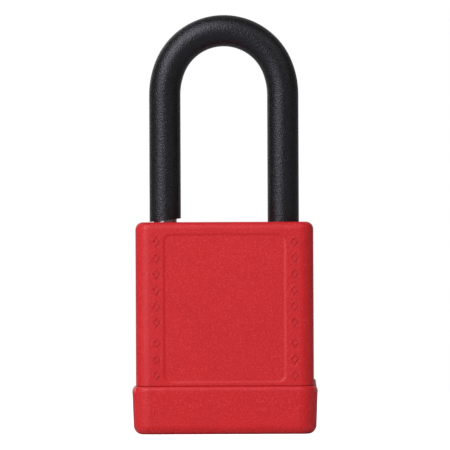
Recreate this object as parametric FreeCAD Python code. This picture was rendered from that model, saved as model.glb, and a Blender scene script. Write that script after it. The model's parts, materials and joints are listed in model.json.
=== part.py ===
import FreeCAD, Part
import math
import os

# Safety padlock: bent steel shackle in a plastic sleeve, two-part plastic shell and brass lock body.
# Millimetres, +Z up, X across the width. The origin is the centre of the shell's bottom face.
# Rest position: shackle closed, cylinder plug turned to the unlocked side.

Vec = FreeCAD.Vector
ALONG_X = Vec(1, 0, 0)
ALONG_Y = Vec(0, 1, 0)
UP = Vec(0, 0, 1)

# Outside of the shell
overall_height = 90.58
cover_top_z = 45.79
cover_width = 38.4
cover_depth = 20.0
cover_corner_r = 3.0
cover_top_r = 1.6
cover_wall = 1.3
cover_roof = 1.8
cap_top_z = 10.37
cap_width = 40.0
cap_depth = 21.6
cap_taper = 0.65
cap_corner_r = 3.8
cap_bottom_r = 2.0
cap_rim_drop = 1.05
cap_rim_flat = 0.35
cap_rim_steps = 6
cap_floor = 1.8
key_hole_flare = 0.9
seam_gap = 0.09

# Skirt of the cover inside the cap, and the snaps that hold the cap on
skirt_inset = 0.4
skirt_bottom_z = 7.6
skirt_gap = 0.1
skirt_root = 1.0
snap_length = 6.0
snap_height = 1.0
snap_depth = 0.6
snap_x = 10.0
snap_z = 9.0
snap_root = 0.3
snap_gap = 0.1

# Low lip that rises from the cap's right side and lies close to the cover
lip_length = 13.0
lip_rise = 1.3
lip_thickness = 0.62
lip_lean = 0.3
lip_gap = 0.06
lip_round = 0.25
lip_end_slope = 1.2

# Label recess, and a column of small raised lozenge outlines each side of it, on the cover's front and back
label_width = 26.62
label_height = 32.28
label_top_drop = 2.45
label_corner_r = 1.8
label_depth = 0.16
label_slope = 0.5
lozenge_column_x = 14.93
lozenge_top_z = 41.6
lozenge_pitch = 3.47
lozenge_gap_after = 6
lozenge_gap = 1.03
lozenge_count = 9
lozenge_width = 1.95
lozenge_height = 2.4
lozenge_stroke = 0.3
lozenge_bevel = 0.1
lozenge_proud = 0.16
lozenge_root = 0.3

# Brass lock body
shell_gap = 0.15
lock_width = cover_width - 2 * (cover_wall + shell_gap)
lock_depth = cover_depth - 2 * (cover_wall + shell_gap)
lock_corner_r = cover_corner_r - cover_wall + shell_gap
lock_bottom_z = cap_floor + 0.1
lock_top_z = cover_top_z - cover_roof - 0.1
lock_top_chamfer = 0.5

# Shackle: a steel bar with two bend radii, and its plastic sleeve
leg_x = 12.77
bar_r = 2.5
sleeve_r = 3.39
sleeve_bore_gap = 0.02
crown_r = 12.51
shoulder_r = 16.23
toe_tip_z = 34.5
bar_chamfer = 0.6
leg_bore_r = 2.7
toe_bore_bottom_z = toe_tip_z - 1.2
cover_hole_r = 2.75
sleeve_toe_low = 0.04
sleeve_toe_high = 0.8
sleeve_heel_drop = 0.35
sleeve_recess_r = 3.6
sleeve_recess_depth = 0.7

# Heel leg below the cover: neck, collar and the pin that keeps the shackle in
lift = 12.5
stop_gap = 0.06
heel_pin_r = 0.74
heel_pin_z = 34.0
neck_r = 1.5
neck_top_z = heel_pin_z + heel_pin_r + stop_gap
collar_top_z = heel_pin_z - heel_pin_r - stop_gap - lift
collar_height = 2.7
collar_bottom_z = collar_top_z - collar_height
heel_bore_bottom_z = 4.2
heel_pin_x = leg_x - neck_r - stop_gap - heel_pin_r
pin_seat_gap = 0.01
spring_end_gap = 0.1
spring_wire_r = 0.3
spring_mean_r = 1.95
spring_turns = 8.0

# Locking balls and the cam that pushes them into the legs
ball_r = 3.0
ball_z = 39.0
ball_bore_r = 3.05
ball_stroke = 1.0
ball_leg_gap = 0.07
ball_rest_x = leg_x - bar_r - ball_leg_gap - ball_r
notch_r = 3.08
cam_gap = 0.1
cam_low_r = ball_rest_x - ball_r - cam_gap
cam_bottom_z = 35.6
cam_top_z = 42.4
cam_pocket_top_z = 42.7
cam_slot_top_z = 38.2
ball_plug_length = 2.0
cam_points_per_quarter = 7

# Cylinder plug, its tail, keyway and retaining pin
plug_r = 5.4
plug_bore_r = 5.45
plug_bottom_z = 0.8
plug_top_z = 30.5
plug_hole_r = 5.7
plug_chamfer = 0.3
keyway_width = 2.2
keyway_low_y = -4.6
keyway_step_y = -1.4
keyway_step_overlap = 0.4
keyway_high_y = 2.6
keyway_shift = 0.5
keyway_top_z = 27.0
tail_length = 6.0
tail_width = 2.0
tail_top_z = 38.0
tail_root = 1.0
tail_gap = 0.1
plug_pin_z = 28.0
plug_pin_r = 0.74
groove_r = 4.2
groove_gap = 0.06
plug_pin_x = groove_r + groove_gap + plug_pin_r

# Pin tumblers: key pins in the plug, driver pins and springs in the body on the toe side
chamber_first_z = 6.4
chamber_pitch = 3.8
chamber_r = 1.4
tumbler_r = 1.3
key_pin_outer = 5.2
key_pin_lengths = [4.4, 3.4, 4.8, 3.8, 4.2, 3.0]
key_pin_tip_r = 0.4
key_pin_cone = 0.9
key_pin_bore_y = -0.6
driver_inner_x = 5.5
driver_length = 4.5
tumbler_chamfer = 0.2
chamber_cap_length = 1.2
pin_spring_wire_r = 0.15
pin_spring_mean_r = 1.0
pin_spring_turns = 7.0

# Centre lines of the shackle's bends, from the overall height
bend_angle = math.acos((shoulder_r - leg_x) / (shoulder_r - crown_r))
crown_centre_z = overall_height - sleeve_r - crown_r
bend_z = crown_centre_z - (shoulder_r - crown_r) * math.sin(bend_angle)

# Lengths that aren't dimensions of the lock: through cuts, overlaps of cutting tools, and a tolerance
far = 100.0
cut_margin = 1.0
same_place = 1e-4


def cylinder(radius, start, direction, length):
    return Part.makeCylinder(radius, length, start, direction)


def box(x_low, x_high, y_low, y_high, z_low, z_high):
    return Part.makeBox(x_high - x_low, y_high - y_low, z_high - z_low, Vec(x_low, y_low, z_low))


def rounded_wire(width, depth, radius, z):
    """Rectangle with round corners in the plane at height z, centred on the Z axis."""
    x = width / 2
    y = depth / 2
    inner_x = x - radius
    inner_y = y - radius
    corners = [
        (inner_x, inner_y, 0),
        (-inner_x, inner_y, 90),
        (-inner_x, -inner_y, 180),
        (inner_x, -inner_y, 270),
    ]
    arcs = []
    for cx, cy, turn in corners:
        points = []
        for step in (0, 45, 90):
            angle = math.radians(turn + step)
            points.append(Vec(cx + radius * math.cos(angle), cy + radius * math.sin(angle), z))
        arcs.append(points)
    edges = []
    for index, points in enumerate(arcs):
        following = arcs[(index + 1) % len(arcs)]
        edges.append(Part.Arc(*points).toShape())
        edges.append(Part.LineSegment(points[2], following[0]).toShape())
    return Part.Wire(edges)


def rounded_prism(width, depth, radius, z_low, z_high):
    face = Part.Face(rounded_wire(width, depth, radius, z_low))
    return face.extrude(Vec(0, 0, z_high - z_low))


def edges_at_height(shape, z):
    """Edges that lie wholly in the plane at height z."""
    found = []
    for edge in shape.Edges:
        bounds = edge.BoundBox
        if abs(bounds.ZMin - z) < same_place and abs(bounds.ZMax - z) < same_place:
            found.append(edge)
    return found


def on_front_and_back(shape):
    """The shape, and its copy turned half round the Z axis."""
    turned = shape.copy()
    turned.rotate(Vec(0, 0, 0), UP, 180)
    return [shape, turned]


def label_recess():
    """Shallow tray with sloping sides, standing in the front face of the cover."""
    centre_z = cover_top_z - label_top_drop - label_height / 2
    outline = rounded_wire(label_width, label_height, label_corner_r, 0)
    floor = rounded_wire(
        label_width - 2 * label_slope,
        label_height - 2 * label_slope,
        label_corner_r - label_slope,
        label_depth,
    )
    tray = Part.makeLoft([outline, floor], True, True)
    above = rounded_prism(label_width, label_height, label_corner_r, -cut_margin, 0)
    tray = tray.fuse(above).removeSplitter()
    tray.rotate(Vec(0, 0, 0), ALONG_X, -90)
    tray.translate(Vec(0, -cover_depth / 2, centre_z))
    return tray


def lozenge(inset, z):
    """Lozenge outline in the plane at height z, moved in by inset from the full size on every side."""
    half_width = lozenge_width / 2
    half_height = lozenge_height / 2
    inner_radius = half_width * half_height / math.hypot(half_width, half_height)
    share = 1 - inset / inner_radius
    side = Vec(half_width * share, 0, z)
    top = Vec(0, half_height * share, z)
    far_side = Vec(-half_width * share, 0, z)
    bottom = Vec(0, -half_height * share, z)
    return Part.makePolygon([side, top, far_side, bottom, side])


def lozenge_heights():
    """Heights of a column's lozenges from the top down: a long group, a gap and a short group."""
    heights = []
    for index in range(lozenge_count):
        shift = lozenge_gap if index >= lozenge_gap_after else 0
        heights.append(lozenge_top_z - index * lozenge_pitch - shift)
    return heights


def raised_lozenge(x, z):
    """Raised outline with sloping sides on the front face of the cover, rooted in its wall."""
    tall = lozenge_root + lozenge_proud
    outside = Part.makeLoft([lozenge(0, 0), lozenge(lozenge_bevel, tall)], True, True)
    narrow = lozenge(lozenge_stroke + lozenge_bevel, 0)
    wide = lozenge(lozenge_stroke, tall)
    outline = outside.cut(Part.makeLoft([narrow, wide], True, True))
    outline.rotate(Vec(0, 0, 0), ALONG_X, 90)
    outline.translate(Vec(x, -cover_depth / 2 + lozenge_root, z))
    return outline


def make_cover():
    wall_bottom_z = cap_top_z + seam_gap
    outside = rounded_prism(cover_width, cover_depth, cover_corner_r, wall_bottom_z, cover_top_z)
    outside = outside.makeFillet(cover_top_r, edges_at_height(outside, cover_top_z))
    skirt = rounded_prism(
        cover_width - 2 * skirt_inset,
        cover_depth - 2 * skirt_inset,
        cover_corner_r - skirt_inset,
        skirt_bottom_z,
        wall_bottom_z + skirt_root,
    )
    cavity = rounded_prism(
        cover_width - 2 * cover_wall,
        cover_depth - 2 * cover_wall,
        cover_corner_r - cover_wall,
        0,
        cover_top_z - cover_roof,
    )
    marks = []
    for z in lozenge_heights():
        for x in (-lozenge_column_x, lozenge_column_x):
            marks += on_front_and_back(raised_lozenge(x, z))
    cover = outside.fuse([skirt] + marks)
    cuts = [cavity]
    cuts += on_front_and_back(label_recess())
    for x in (-leg_x, leg_x):
        cuts.append(cylinder(cover_hole_r, Vec(x, 0, cover_top_z - far / 2), UP, far))
    cuts.append(cylinder(sleeve_recess_r, Vec(leg_x, 0, cover_top_z - sleeve_recess_depth), UP, far))
    for x in (-snap_x, snap_x):
        cuts.append(
            box(
                x - snap_length / 2 - snap_gap,
                x + snap_length / 2 + snap_gap,
                -far,
                far,
                snap_z - snap_height / 2 - snap_gap,
                snap_z + snap_height / 2 + snap_gap,
            )
        )
    return cover.cut(cuts).removeSplitter()


def lip_section(thickness, length, z):
    """Rectangle in the plane at height z, just outside the cover's right side."""
    inner_x = cover_width / 2 + lip_gap
    outer_x = inner_x + thickness
    near = Vec(inner_x, -length / 2, z)
    near_outer = Vec(outer_x, -length / 2, z)
    far_outer = Vec(outer_x, length / 2, z)
    far_inner = Vec(inner_x, length / 2, z)
    return Part.makePolygon([near, near_outer, far_outer, far_inner, near])


def side_lip():
    """Lip on the cap's right side, leaning in towards its top, with sloping ends and soft outer edges."""
    low_z = cap_top_z - cap_rim_drop
    foot = lip_section(lip_thickness, lip_length, low_z)
    crest = lip_section(lip_thickness - lip_lean, lip_length - 2 * lip_end_slope, cap_top_z + lip_rise)
    lip = Part.makeLoft([foot, crest], True, True)
    soft_edges = []
    for edge in lip.Edges:
        bounds = edge.BoundBox
        if bounds.XMin > cover_width / 2 + lip_gap + same_place and bounds.ZMax > low_z + same_place:
            soft_edges.append(edge)
    return lip.makeFillet(lip_round, soft_edges)


def make_bottom_cap():
    """Tray that closes the cover from below, with a round-over rim, a side lip and four snap lugs inside."""
    base = rounded_wire(cap_width - cap_taper, cap_depth - cap_taper, cap_corner_r, 0)
    shoulder_z = cap_top_z - cap_rim_drop
    shoulder = rounded_wire(cap_width, cap_depth, cap_corner_r, shoulder_z)
    lower = Part.makeLoft([base, shoulder], True, True)
    lower = lower.makeFillet(cap_bottom_r, edges_at_height(lower, 0))
    rim_inner_width = cover_width - 2 * skirt_inset + 2 * skirt_gap
    rim_inner_depth = cover_depth - 2 * skirt_inset + 2 * skirt_gap
    rim_overhang = (cap_width - rim_inner_width) / 2 - cap_rim_flat
    sections = []
    for step in range(cap_rim_steps + 1):
        angle = math.radians(90 * step / cap_rim_steps)
        inset = rim_overhang * (1 - math.cos(angle))
        z = shoulder_z + cap_rim_drop * math.sin(angle)
        sections.append(
            rounded_wire(cap_width - 2 * inset, cap_depth - 2 * inset, cap_corner_r - inset, z)
        )
    rim = Part.makeLoft(sections, True, False)
    cap = lower.fuse(rim).removeSplitter()
    upper_cavity = rounded_prism(
        rim_inner_width,
        rim_inner_depth,
        cover_corner_r - skirt_inset + skirt_gap,
        skirt_bottom_z - seam_gap,
        far,
    )
    lower_cavity = rounded_prism(
        lock_width + 2 * shell_gap, lock_depth + 2 * shell_gap, lock_corner_r, cap_floor, far
    )
    key_hole = cylinder(plug_hole_r, Vec(0, 0, -cut_margin), UP, cap_floor + 2 * cut_margin)
    flare = Part.makeCone(plug_hole_r + key_hole_flare, plug_hole_r, key_hole_flare, Vec(0, 0, 0), UP)
    cap = cap.cut([upper_cavity, lower_cavity, key_hole, flare])
    lugs = []
    lug_y = rim_inner_depth / 2
    for x in (-snap_x, snap_x):
        lug = box(
            x - snap_length / 2,
            x + snap_length / 2,
            -lug_y - snap_root,
            -lug_y + snap_depth,
            snap_z - snap_height / 2,
            snap_z + snap_height / 2,
        )
        lugs += on_front_and_back(lug)
    return cap.fuse(lugs + [side_lip()]).removeSplitter()


def chamber_heights():
    return [chamber_first_z + index * chamber_pitch for index in range(len(key_pin_lengths))]


def make_lock_body():
    block = rounded_prism(lock_width, lock_depth, lock_corner_r, lock_bottom_z, lock_top_z)
    block = block.makeChamfer(lock_top_chamfer, edges_at_height(block, lock_top_z))
    cuts = [
        cylinder(plug_bore_r, Vec(0, 0, 0), UP, cam_pocket_top_z),
        cylinder(leg_bore_r, Vec(leg_x, 0, heel_bore_bottom_z), UP, far),
        cylinder(leg_bore_r, Vec(-leg_x, 0, toe_bore_bottom_z), UP, far),
        cylinder(ball_bore_r, Vec(-leg_x, 0, ball_z), ALONG_X, far),
        cylinder(heel_pin_r + pin_seat_gap, Vec(heel_pin_x, -far / 2, heel_pin_z), ALONG_Y, far),
        cylinder(plug_pin_r + pin_seat_gap, Vec(plug_pin_x, -far / 2, plug_pin_z), ALONG_Y, far),
    ]
    for z in chamber_heights():
        cuts.append(cylinder(chamber_r, Vec(-far, 0, z), ALONG_X, far))
    return block.cut(cuts).removeSplitter()


def bend_point(centre_x, centre_z, radius, angle):
    return Vec(centre_x + radius * math.cos(angle), 0, centre_z + radius * math.sin(angle))


def bent_bar(radius, toe_z, heel_z):
    """Round bar along the shackle's centre line, from one leg's lower end over the crown to the other's."""
    shoulder_x = shoulder_r - leg_x
    half = bend_angle / 2
    toe_end = Vec(-leg_x, 0, toe_z)
    toe_bend = Vec(-leg_x, 0, bend_z)
    heel_bend = Vec(leg_x, 0, bend_z)
    toe_join = bend_point(0, crown_centre_z, crown_r, math.pi - bend_angle)
    heel_join = bend_point(0, crown_centre_z, crown_r, bend_angle)
    toe_middle = bend_point(shoulder_x, bend_z, shoulder_r, math.pi - half)
    heel_middle = bend_point(-shoulder_x, bend_z, shoulder_r, half)
    top = Vec(0, 0, crown_centre_z + crown_r)
    path = Part.Wire(
        [
            Part.LineSegment(toe_end, toe_bend).toShape(),
            Part.Arc(toe_bend, toe_middle, toe_join).toShape(),
            Part.Arc(toe_join, top, heel_join).toShape(),
            Part.Arc(heel_join, heel_middle, heel_bend).toShape(),
            Part.LineSegment(heel_bend, Vec(leg_x, 0, heel_z)).toShape(),
        ]
    )
    section = Part.Wire(Part.Circle(toe_end, UP, radius).toShape())
    return path.makePipeShell([section], True, False)


def turned_ring(outer_r, inner_r, centre_x, z_low, z_high):
    """Ring about a leg's axis, used to turn that leg down to a neck."""
    start = Vec(centre_x, 0, z_low)
    return cylinder(outer_r, start, UP, z_high - z_low).cut(cylinder(inner_r, start, UP, z_high - z_low))


def make_shackle():
    bar = bent_bar(bar_r, toe_tip_z, collar_bottom_z)
    ends = edges_at_height(bar, toe_tip_z) + edges_at_height(bar, collar_bottom_z)
    bar = bar.makeChamfer(bar_chamfer, ends)
    neck = turned_ring(bar_r + cut_margin, neck_r, leg_x, collar_top_z, neck_top_z)
    notches = []
    for side in (-1, 1):
        locked_x = side * (ball_rest_x + ball_stroke)
        notches.append(Part.makeSphere(notch_r, Vec(locked_x, 0, ball_z)))
    return bar.cut([neck] + notches)


def make_shackle_sleeve():
    """Moulded tube over the visible bar. Its toe end is trimmed on a slight slant, its heel end square."""
    heel_end_z = cover_top_z - sleeve_heel_drop
    toe_end_z = cover_top_z - cut_margin
    tube = bent_bar(sleeve_r, toe_end_z, heel_end_z)
    bore = bent_bar(bar_r + sleeve_bore_gap, toe_end_z - cut_margin, heel_end_z - cut_margin)
    slant = math.degrees(math.atan2(sleeve_toe_high - sleeve_toe_low, 2 * sleeve_r))
    trim = box(-2 * sleeve_r, 2 * sleeve_r, -2 * sleeve_r, 2 * sleeve_r, -4 * sleeve_r, 0)
    trim.rotate(Vec(0, 0, 0), ALONG_Y, -slant)
    trim.translate(Vec(-leg_x, 0, cover_top_z + (sleeve_toe_low + sleeve_toe_high) / 2))
    return tube.cut([bore, trim])


def coil_spring(wire_r, mean_r, turns, length):
    """Compression spring along +Z from z = 0, with ground ends."""
    pitch = length / (turns - 0.5)
    helix = Part.makeHelix(pitch, pitch * turns, mean_r)
    section = Part.Wire(Part.Circle(Vec(mean_r, 0, 0), ALONG_Y, wire_r).toShape())
    coil = Part.Wire(helix.Edges).makePipeShell([section], True, True)
    coil.translate(Vec(0, 0, -pitch / 4))
    return coil.common(cylinder(mean_r + 2 * wire_r, Vec(0, 0, 0), UP, length))


def make_shackle_spring():
    length = collar_bottom_z - heel_bore_bottom_z - 2 * spring_end_gap
    spring = coil_spring(spring_wire_r, spring_mean_r, spring_turns, length)
    spring.translate(Vec(leg_x, 0, heel_bore_bottom_z + spring_end_gap))
    return spring


def cross_pin(radius, x, z):
    """Dowel pressed through the lock body from front to back."""
    length = lock_depth - 2 * shell_gap
    pin = cylinder(radius, Vec(x, -length / 2, z), ALONG_Y, length)
    return pin.makeChamfer(tumbler_chamfer, [pin.Edges[0], pin.Edges[2]])


def make_cam():
    """Two-lobed disc whose radius grows evenly with angle from each ball side to the lobes between."""
    edges = []
    for quarter in range(4):
        rising = quarter % 2 == 0
        points = []
        for step in range(cam_points_per_quarter):
            share = step / (cam_points_per_quarter - 1)
            rise = share if rising else 1 - share
            radius = cam_low_r + ball_stroke * rise
            angle = math.pi / 2 * (quarter + share)
            points.append(Vec(radius * math.cos(angle), radius * math.sin(angle), cam_bottom_z))
        curve = Part.BSplineCurve()
        curve.interpolate(points)
        edges.append(curve.toShape())
    disc = Part.Face(Part.Wire(edges)).extrude(Vec(0, 0, cam_top_z - cam_bottom_z))
    slot = box(
        -tail_length / 2 - tail_gap,
        tail_length / 2 + tail_gap,
        -tail_width / 2 - tail_gap,
        tail_width / 2 + tail_gap,
        0,
        cam_slot_top_z,
    )
    return disc.cut(slot)


def make_plug():
    barrel = cylinder(plug_r, Vec(0, 0, plug_bottom_z), UP, plug_top_z - plug_bottom_z)
    barrel = barrel.makeChamfer(plug_chamfer, edges_at_height(barrel, plug_bottom_z))
    tail_x = tail_length / 2
    tail_y = tail_width / 2
    tail = box(-tail_x, tail_x, -tail_y, tail_y, plug_top_z - tail_root, tail_top_z)
    groove_half = plug_pin_r + groove_gap
    groove_low_z = plug_pin_z - groove_half
    groove = turned_ring(plug_r + cut_margin, groove_r, 0, groove_low_z, plug_pin_z + groove_half)
    half = keyway_width / 2
    step_y = keyway_step_y + keyway_step_overlap
    cuts = [
        groove,
        box(-half, half, keyway_step_y, keyway_high_y, 0, keyway_top_z),
        box(keyway_shift - half, keyway_shift + half, keyway_low_y, step_y, 0, keyway_top_z),
    ]
    for z in chamber_heights():
        cuts.append(cylinder(chamber_r, Vec(0, key_pin_bore_y, z), ALONG_Y, far))
    return barrel.fuse(tail).cut(cuts).removeSplitter()


def make_key_pin(length, z):
    """Key pin in the plug: conical tip towards the keyway, flat end just inside the plug's surface."""
    shank_length = length - key_pin_cone
    shank = cylinder(tumbler_r, Vec(0, 0, 0), UP, shank_length)
    shank = shank.makeChamfer(tumbler_chamfer, edges_at_height(shank, 0))
    tip = Part.makeCone(tumbler_r, key_pin_tip_r, key_pin_cone, Vec(0, 0, shank_length), UP)
    pin = shank.fuse(tip).removeSplitter()
    pin.rotate(Vec(0, 0, 0), ALONG_X, 90)
    pin.translate(Vec(0, key_pin_outer, z))
    return pin


def make_driver_pin(z):
    pin = cylinder(tumbler_r, Vec(0, 0, 0), UP, driver_length)
    pin = pin.makeChamfer(tumbler_chamfer, pin.Edges)
    pin.rotate(Vec(0, 0, 0), ALONG_Y, -90)
    pin.translate(Vec(-driver_inner_x, 0, z))
    return pin


def make_pin_spring(z):
    start_x = driver_inner_x + driver_length + spring_end_gap
    end_x = lock_width / 2 - chamber_cap_length - spring_end_gap
    spring = coil_spring(pin_spring_wire_r, pin_spring_mean_r, pin_spring_turns, end_x - start_x)
    spring.rotate(Vec(0, 0, 0), ALONG_Y, -90)
    spring.translate(Vec(-start_x, 0, z))
    return spring


def make_chamber_cap(z):
    outer_x = lock_width / 2
    return cylinder(chamber_r - pin_seat_gap, Vec(-outer_x, 0, z), ALONG_X, chamber_cap_length)


def make_ball_bore_plug():
    outer_x = lock_width / 2
    start = Vec(outer_x - ball_plug_length, 0, ball_z)
    return cylinder(ball_bore_r - pin_seat_gap, start, ALONG_X, ball_plug_length)


def make_parts():
    parts = {
        "cover": make_cover(),
        "bottom_cap": make_bottom_cap(),
        "lock_body": make_lock_body(),
        "shackle": make_shackle(),
        "shackle_sleeve": make_shackle_sleeve(),
        "shackle_spring": make_shackle_spring(),
        "heel_retaining_pin": cross_pin(heel_pin_r, heel_pin_x, heel_pin_z),
        "toe_ball": Part.makeSphere(ball_r, Vec(-ball_rest_x, 0, ball_z)),
        "heel_ball": Part.makeSphere(ball_r, Vec(ball_rest_x, 0, ball_z)),
        "ball_bore_plug": make_ball_bore_plug(),
        "cam": make_cam(),
        "plug": make_plug(),
        "plug_retaining_pin": cross_pin(plug_pin_r, plug_pin_x, plug_pin_z),
    }
    for number, (length, z) in enumerate(zip(key_pin_lengths, chamber_heights()), 1):
        parts[f"key_pin_{number}"] = make_key_pin(length, z)
        parts[f"driver_pin_{number}"] = make_driver_pin(z)
        parts[f"pin_spring_{number}"] = make_pin_spring(z)
        parts[f"chamber_cap_{number}"] = make_chamber_cap(z)
    return parts


os.makedirs("parts", exist_ok=True)
for name, shape in make_parts().items():
    shape.exportStep(f"parts/{name}.step")
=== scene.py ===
import json
import math

import bpy
from mathutils import Matrix, Vector


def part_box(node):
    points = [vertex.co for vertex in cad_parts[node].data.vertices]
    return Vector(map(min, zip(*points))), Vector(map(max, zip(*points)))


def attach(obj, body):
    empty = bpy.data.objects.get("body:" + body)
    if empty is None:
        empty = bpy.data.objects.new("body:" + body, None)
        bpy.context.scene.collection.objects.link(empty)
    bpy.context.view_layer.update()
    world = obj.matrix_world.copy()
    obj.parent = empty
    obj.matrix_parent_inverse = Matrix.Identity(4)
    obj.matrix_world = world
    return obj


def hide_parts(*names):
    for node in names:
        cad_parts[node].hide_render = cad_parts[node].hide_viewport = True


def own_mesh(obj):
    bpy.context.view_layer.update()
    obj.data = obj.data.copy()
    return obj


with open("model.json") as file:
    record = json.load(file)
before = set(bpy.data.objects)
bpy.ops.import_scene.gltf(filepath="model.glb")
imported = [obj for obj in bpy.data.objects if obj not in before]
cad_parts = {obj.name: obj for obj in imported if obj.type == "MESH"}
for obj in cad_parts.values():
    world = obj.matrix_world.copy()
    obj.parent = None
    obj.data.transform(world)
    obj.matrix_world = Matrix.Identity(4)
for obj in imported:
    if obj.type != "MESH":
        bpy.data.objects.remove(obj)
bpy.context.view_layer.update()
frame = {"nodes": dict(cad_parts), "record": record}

MM = 0.001
PIN_COUNT = 6


# Node helpers

class Shader:
    """A material's node tree with one Principled shader, and short calls that add and join nodes."""

    def __init__(self, name):
        self.material = bpy.data.materials.new(name)
        self.material.use_nodes = True
        self.tree = self.material.node_tree
        self.surface = self.tree.nodes["Principled BSDF"]
        self.position = self.add("ShaderNodeTexCoord").outputs["Object"]

    def add(self, kind, **settings):
        node = self.tree.nodes.new(kind)
        for key, value in settings.items():
            setattr(node, key, value)
        return node

    def join(self, source, socket):
        self.tree.links.new(source, socket)

    def fixed(self, **values):
        """Sets sockets of the Principled shader that are the same all over."""
        for key, value in values.items():
            self.surface.inputs[key.replace("_", " ")].default_value = value

    def set(self, **sources):
        """Joins sources to sockets of the Principled shader."""
        for key, source in sources.items():
            self.join(source, self.surface.inputs[key.replace("_", " ")])

    def noise(self, size, detail=2.0, roughness=0.5, stretch=(1, 1, 1)):
        """Noise whose features are about size metres across, stretched along an axis by a factor under 1."""
        mapping = self.add("ShaderNodeMapping")
        mapping.inputs["Scale"].default_value = [s / size for s in stretch]
        self.join(self.position, mapping.inputs["Vector"])
        node = self.add("ShaderNodeTexNoise")
        node.inputs["Scale"].default_value = 1.0
        node.inputs["Detail"].default_value = detail
        node.inputs["Roughness"].default_value = roughness
        self.join(mapping.outputs["Vector"], node.inputs["Vector"])
        return node.outputs["Fac"]

    def spread(self, value, low, high, out_low=0.0, out_high=1.0):
        """Maps value's stretch from low to high onto out_low to out_high, and holds it there."""
        node = self.add("ShaderNodeMapRange")
        node.inputs["From Min"].default_value = low
        node.inputs["From Max"].default_value = high
        node.inputs["To Min"].default_value = out_low
        node.inputs["To Max"].default_value = out_high
        self.join(value, node.inputs["Value"])
        return node.outputs["Result"]

    def colours(self, value, *stops):
        """Colour ramp: each stop is a place from 0 to 1 and a colour."""
        node = self.add("ShaderNodeValToRGB")
        ramp = node.color_ramp
        while len(ramp.elements) < len(stops):
            ramp.elements.new(0.5)
        for element, (place, colour) in zip(ramp.elements, stops):
            element.position = place
            element.color = (*colour, 1.0)
        self.join(value, node.inputs["Fac"])
        return node.outputs["Color"]

    def blend(self, share, first, second):
        """Mixes two colours, the second by share. Sockets of several kinds share names: numbers pick one."""
        colour_a, colour_b, colour_out = 6, 7, 2
        node = self.add("ShaderNodeMix", data_type="RGBA")
        self.join(share, node.inputs["Factor"])
        self.join(first, node.inputs[colour_a])
        self.join(second, node.inputs[colour_b])
        return node.outputs[colour_out]

    def calculate(self, operation, first, second):
        """Maths on two values, each a number or a socket."""
        node = self.add("ShaderNodeMath", operation=operation)
        for socket, value in zip(node.inputs, (first, second)):
            if isinstance(value, (int, float)):
                socket.default_value = value
            else:
                self.join(value, socket)
        return node.outputs["Value"]

    def bump(self, height, depth, strength=1.0, after=None):
        """Bump of depth metres, over an earlier bump if one is given."""
        node = self.add("ShaderNodeBump")
        node.inputs["Strength"].default_value = strength
        node.inputs["Distance"].default_value = depth
        self.join(height, node.inputs["Height"])
        if after is not None:
            self.join(after, node.inputs["Normal"])
        return node.outputs["Normal"]

    def soft_edges(self, radius):
        """Normal with sharp edges rounded off to radius, and a mask that is 1 along those edges."""
        flat_cosine, edge_cosine = 0.995, 0.93
        rounded = self.add("ShaderNodeBevel", samples=4)
        rounded.inputs["Radius"].default_value = radius
        facing = self.add("ShaderNodeVectorMath", operation="DOT_PRODUCT")
        self.join(rounded.outputs["Normal"], facing.inputs[0])
        self.join(self.add("ShaderNodeNewGeometry").outputs["Normal"], facing.inputs[1])
        return rounded.outputs["Normal"], self.spread(facing.outputs["Value"], flat_cosine, edge_cosine)

    def corner_mask(self, low, high):
        """Mask of where a boxy shape turns between its sides: 1 for a flatness under low, 0 over high."""
        sides = self.add("ShaderNodeSeparateXYZ")
        self.join(self.add("ShaderNodeTexCoord").outputs["Normal"], sides.inputs["Vector"])
        x, y, z = (self.calculate("ABSOLUTE", sides.outputs[axis], 0.0) for axis in "XYZ")
        flatness = self.calculate("MAXIMUM", self.calculate("MAXIMUM", x, y), z)
        return self.spread(flatness, high, low)


# Materials

def rim_end_glints(shader, patches):
    """Share of painted glint on the cap's rim past the cover's left and right sides, most on the lip: a pale
    reflection painted into the colour.
    """
    cover_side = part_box("cover")[1].x
    rim_top = 10.4 * MM
    place = shader.add("ShaderNodeSeparateXYZ")
    shader.join(shader.position, place.inputs["Vector"])
    across = shader.calculate("ABSOLUTE", place.outputs["X"], 0.0)
    past = shader.spread(across, cover_side + 0.02 * MM, cover_side + 0.05 * MM)
    on_rim = shader.spread(place.outputs["Z"], rim_top - 1.5 * MM, rim_top - 0.9 * MM)
    on_lip = shader.spread(place.outputs["Z"], rim_top, rim_top + 0.2 * MM)
    # Painted glint: a pale reflection painted on the rim ends and, strongest, on the lip.
    rim_glint = shader.calculate("MULTIPLY", on_rim, shader.spread(patches, 0.35, 0.60, 0.02, 0.20))
    lip_glint = shader.calculate("MULTIPLY", on_lip, shader.spread(patches, 0.35, 0.60, 0.35, 1.0))
    return shader.calculate("MULTIPLY", past, shader.calculate("MAXIMUM", rim_glint, lip_glint))


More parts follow.
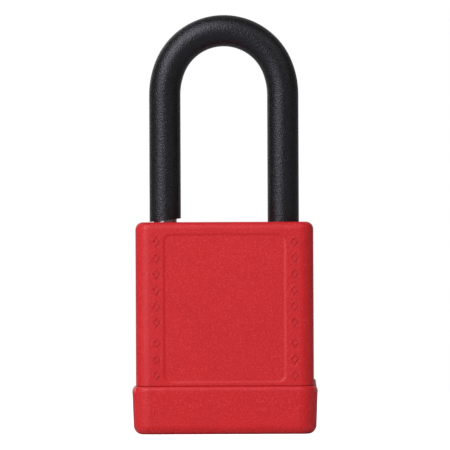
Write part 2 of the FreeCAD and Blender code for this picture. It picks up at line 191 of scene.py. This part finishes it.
def red_plastic():
    """Moulded red plastic: eroded grain, paler specks, edges paler from wear and a painted highlight, and a
    painted glint at the ends of the cap's rim.
    """
    shader = Shader("red_plastic")
    patches = shader.noise(6 * MM, detail=3.0)
    grain = shader.noise(0.30 * MM, detail=2.0, roughness=0.6)
    specks = shader.noise(0.32 * MM, detail=1.5, roughness=0.6)
    tone = shader.colours(
        shader.spread(patches, 0.3, 0.7), (0.0, (0.533, 0.0076, 0.0096)), (1.0, (0.572, 0.0093, 0.0117))
    )
    speck = shader.colours(
        shader.spread(specks, 0.38, 0.74),
        (0.0, (0.485, 0.0034, 0.0053)),
        (0.55, (0.568, 0.0118, 0.0142)),
        (1.0, (0.650, 0.0650, 0.0720)),
    )
    about_half = shader.spread(patches, 0.0, 1.0, 0.45, 0.55)
    body = shader.blend(about_half, tone, speck)
    smooth, sharp = shader.soft_edges(0.11 * MM)
    rubbed = shader.spread(shader.noise(0.9 * MM, detail=4.0, roughness=0.7), 0.42, 0.62)
    corners = shader.calculate("MULTIPLY", shader.corner_mask(0.75, 0.9), 0.22)
    # Sharp edges paler: partly wear, partly a painted highlight along them.
    edges = shader.calculate("MULTIPLY", sharp, 0.9)
    edge_paling = shader.calculate("MULTIPLY", shader.calculate("MAXIMUM", corners, edges), rubbed)
    pale = shader.colours(patches, (0.0, (0.66, 0.045, 0.052)), (1.0, (0.70, 0.060, 0.068)))
    # Pale pink of the painted glint on the ends of the cap's rim.
    glint_pink = shader.colours(patches, (0.0, (0.76, 0.50, 0.50)), (1.0, (0.84, 0.60, 0.60)))
    end_glints = rim_end_glints(shader, shader.noise(1.6 * MM, detail=3.0, roughness=0.6))
    shader.set(Base_Color=shader.blend(end_glints, shader.blend(edge_paling, body, pale), glint_pink))
    shader.set(Roughness=shader.spread(grain, 0.3, 0.7, 0.38, 0.50))
    shader.set(Normal=shader.bump(grain, 0.10 * MM, 0.7, after=smooth))
    shader.fixed(IOR=1.5, Specular_IOR_Level=0.35)
    return shader.material


def black_plastic():
    """Matte black sleeve with a fine pebbled grain."""
    shader = Shader("black_plastic")
    patches = shader.noise(4 * MM, detail=3.0)
    grain = shader.noise(0.34 * MM, detail=1.5, roughness=0.6)
    tone = shader.colours(
        shader.spread(patches, 0.3, 0.7), (0.0, (0.0022, 0.0022, 0.0027)), (1.0, (0.0032, 0.0032, 0.0038))
    )
    speck = shader.colours(
        shader.spread(grain, 0.4, 0.7), (0.0, (0.0018, 0.0018, 0.0021)), (1.0, (0.0070, 0.0069, 0.0076))
    )
    about_half = shader.spread(patches, 0.0, 1.0, 0.45, 0.55)
    body = shader.blend(about_half, tone, speck)
    smooth, sharp = shader.soft_edges(0.12 * MM)
    rubbed = shader.spread(shader.noise(0.7 * MM, detail=4.0, roughness=0.7), 0.45, 0.6)
    edge_paling = shader.calculate("MULTIPLY", shader.calculate("MULTIPLY", sharp, 0.5), rubbed)
    pale = shader.colours(patches, (0.0, (0.030, 0.030, 0.031)), (1.0, (0.040, 0.040, 0.041)))
    shader.set(Base_Color=shader.blend(edge_paling, body, pale))
    shader.set(Roughness=shader.spread(grain, 0.3, 0.7, 0.28, 0.42))
    shader.set(Normal=shader.bump(grain, 0.15 * MM, 0.8, after=smooth))
    shader.fixed(IOR=1.5, Specular_IOR_Level=0.45, Specular_Tint=(0.95, 0.93, 1.0, 1.0))
    return shader.material


def metal(name, dark, light, rough_low, rough_high, stretch=(1, 1, 1)):
    """Machined metal: fine marks, longer along an axis with a stretch under 1, and uneven tone and gloss."""
    shader = Shader(name)
    marks = shader.noise(0.4 * MM, detail=4.0, stretch=stretch)
    patches = shader.noise(3 * MM, detail=2.0)
    shader.set(Base_Color=shader.colours(shader.spread(patches, 0.3, 0.7), (0.0, dark), (1.0, light)))
    shader.set(Roughness=shader.spread(marks, 0.3, 0.7, rough_low, rough_high))
    shader.set(Normal=shader.bump(marks, 0.01 * MM, 0.4))
    shader.fixed(Metallic=1.0)
    return shader.material


def dress_nodes():
    """Gives each CAD node the material of its slot in the record."""
    made = {
        "red_plastic": red_plastic(),
        "black_plastic": black_plastic(),
        "shackle_steel": metal("shackle_steel", (0.30, 0.29, 0.29), (0.38, 0.37, 0.37), 0.14, 0.22),
        "ball_steel": metal("ball_steel", (0.66, 0.67, 0.69), (0.74, 0.75, 0.77), 0.08, 0.14),
        "pin_steel": metal("pin_steel", (0.48, 0.48, 0.50), (0.56, 0.56, 0.58), 0.25, 0.38, (1, 0.2, 1)),
        "spring_steel": metal("spring_steel", (0.50, 0.50, 0.52), (0.60, 0.60, 0.62), 0.2, 0.35),
        "brass": metal("brass", (0.66, 0.46, 0.17), (0.78, 0.57, 0.25), 0.25, 0.42, (1, 1, 0.25)),
        "plug_brass": metal("plug_brass", (0.66, 0.52, 0.26), (0.76, 0.62, 0.34), 0.22, 0.36),
        "tumbler_brass": metal("tumbler_brass", (0.70, 0.49, 0.17), (0.82, 0.61, 0.26), 0.18, 0.3),
        "cam_steel": metal("cam_steel", (0.40, 0.40, 0.42), (0.48, 0.48, 0.50), 0.35, 0.5),
    }
    for part in frame["record"]["subparts"]:
        mesh = frame["nodes"][part["node"]].data
        mesh.materials.clear()
        mesh.materials.append(made[part["material_slot"]])


# Springs

def make_pin_coils():
    """Coils that stand for the CAD's pin springs, as copies fixed to the lock case."""
    for number in range(1, PIN_COUNT + 1):
        spring = f"pin_spring_{number}"
        coil = bpy.data.objects.new(f"pin_coil_{number}", frame["nodes"][spring].data.copy())
        bpy.context.scene.collection.objects.link(coil)
        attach(coil, "lock_case")
        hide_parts(spring)
        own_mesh(coil)


# Studio

def make_floor():
    """White table top that the lock stands on. It glows for the camera and is darker in reflections."""
    sides = 96
    radius = 0.6
    camera_glow = 0.85
    angles = [2 * math.pi * k / sides for k in range(sides)]
    rim = [(radius * math.cos(angle), radius * math.sin(angle), 0.0) for angle in angles]
    mesh = bpy.data.meshes.new("table_top")
    mesh.from_pydata(rim, [], [list(range(sides))])
    table = bpy.data.objects.new("table_top", mesh)
    bpy.context.scene.collection.objects.link(table)
    shader = Shader("white_table")
    tone = shader.noise(80 * MM)
    rays = shader.add("ShaderNodeLightPath")
    lit = shader.colours(tone, (0.0, (0.76, 0.76, 0.76)), (1.0, (0.79, 0.79, 0.79)))
    reflected = shader.colours(tone, (0.0, (0.46, 0.46, 0.46)), (1.0, (0.48, 0.48, 0.48)))
    shader.set(Base_Color=shader.blend(rays.outputs["Is Glossy Ray"], lit, reflected))
    glow = shader.calculate("MULTIPLY", rays.outputs["Is Camera Ray"], camera_glow)
    shader.set(Emission_Strength=glow)
    shader.fixed(Roughness=0.9, Emission_Color=(1.0, 1.0, 1.0, 1.0))
    mesh.materials.append(shader.material)


def softbox(name, azimuth, elevation, power, size=0.6, tint=(1.0, 1.0, 1.0)):
    """Square softbox aimed at the lock. Azimuth 0 is in front, and turns positive to the right."""
    centre = Vector((0, 0, 45 * MM))
    distance = 0.9
    turn = math.radians(azimuth)
    rise = math.radians(elevation)
    towards = Vector((math.sin(turn) * math.cos(rise), -math.cos(turn) * math.cos(rise), math.sin(rise)))
    light = bpy.data.lights.new(name, "AREA")
    light.shape = "SQUARE"
    light.size = size
    light.energy = power
    light.color = tint
    lamp = bpy.data.objects.new(name, light)
    lamp.location = centre + towards * distance
    lamp.rotation_euler = (-towards).to_track_quat("-Z", "Y").to_euler()
    bpy.context.scene.collection.objects.link(lamp)


def make_lights():
    """Two softboxes at the left front, one low and one high, a weak one at the right, and two behind."""
    softbox("low_key", -35, 20, 5.0, tint=(0.98, 0.98, 1.06))
    softbox("high_key", -35, 50, 3.8, tint=(0.96, 0.97, 1.10))
    softbox("right_fill", 40, 35, 1.05)
    softbox("left_rim", -150, 20, 0.6)
    softbox("back_fill", 180, 12, 2.0, size=1.4)


def make_surroundings():
    """Plain surroundings: pure white as a background, and dimmer as a light."""
    as_background = 1.0
    as_light = 0.16
    world = bpy.data.worlds.new("white_surroundings")
    bpy.context.scene.world = world
    world.use_nodes = True
    nodes = world.node_tree.nodes
    links = world.node_tree.links
    nodes.clear()
    rays = nodes.new("ShaderNodeLightPath")
    mix = nodes.new("ShaderNodeMixShader")
    output = nodes.new("ShaderNodeOutputWorld")
    for socket, strength in ((1, as_light), (2, as_background)):
        white = nodes.new("ShaderNodeBackground")
        white.inputs["Color"].default_value = (1.0, 1.0, 1.0, 1.0)
        white.inputs["Strength"].default_value = strength
        links.new(white.outputs["Background"], mix.inputs[socket])
    links.new(rays.outputs["Is Camera Ray"], mix.inputs["Fac"])
    links.new(mix.outputs["Shader"], output.inputs["Surface"])


def make_camera():
    """Long lens looking level along +Y, with the picture 97.4 mm wide at the lock."""
    distance = 2.5
    picture_width = 97.4 * MM
    height = 45.13 * MM
    aside = 0.15 * MM
    roll = math.radians(-0.25)
    camera = bpy.data.cameras.new("camera")
    camera.sensor_width = 36.0
    camera.lens = camera.sensor_width * distance / picture_width
    camera.clip_start = 0.05
    camera.clip_end = 20.0
    holder = bpy.data.objects.new("camera", camera)
    holder.matrix_world = (
        Matrix.Translation((aside, -distance, height))
        @ Matrix.Rotation(math.pi / 2, 4, "X")
        @ Matrix.Rotation(roll, 4, "Z")
    )
    bpy.context.scene.collection.objects.link(holder)
    bpy.context.scene.camera = holder


make_camera()
make_surroundings()
make_floor()
make_lights()
dress_nodes()
make_pin_coils()
bpy.context.scene.view_settings.view_transform = "Standard"
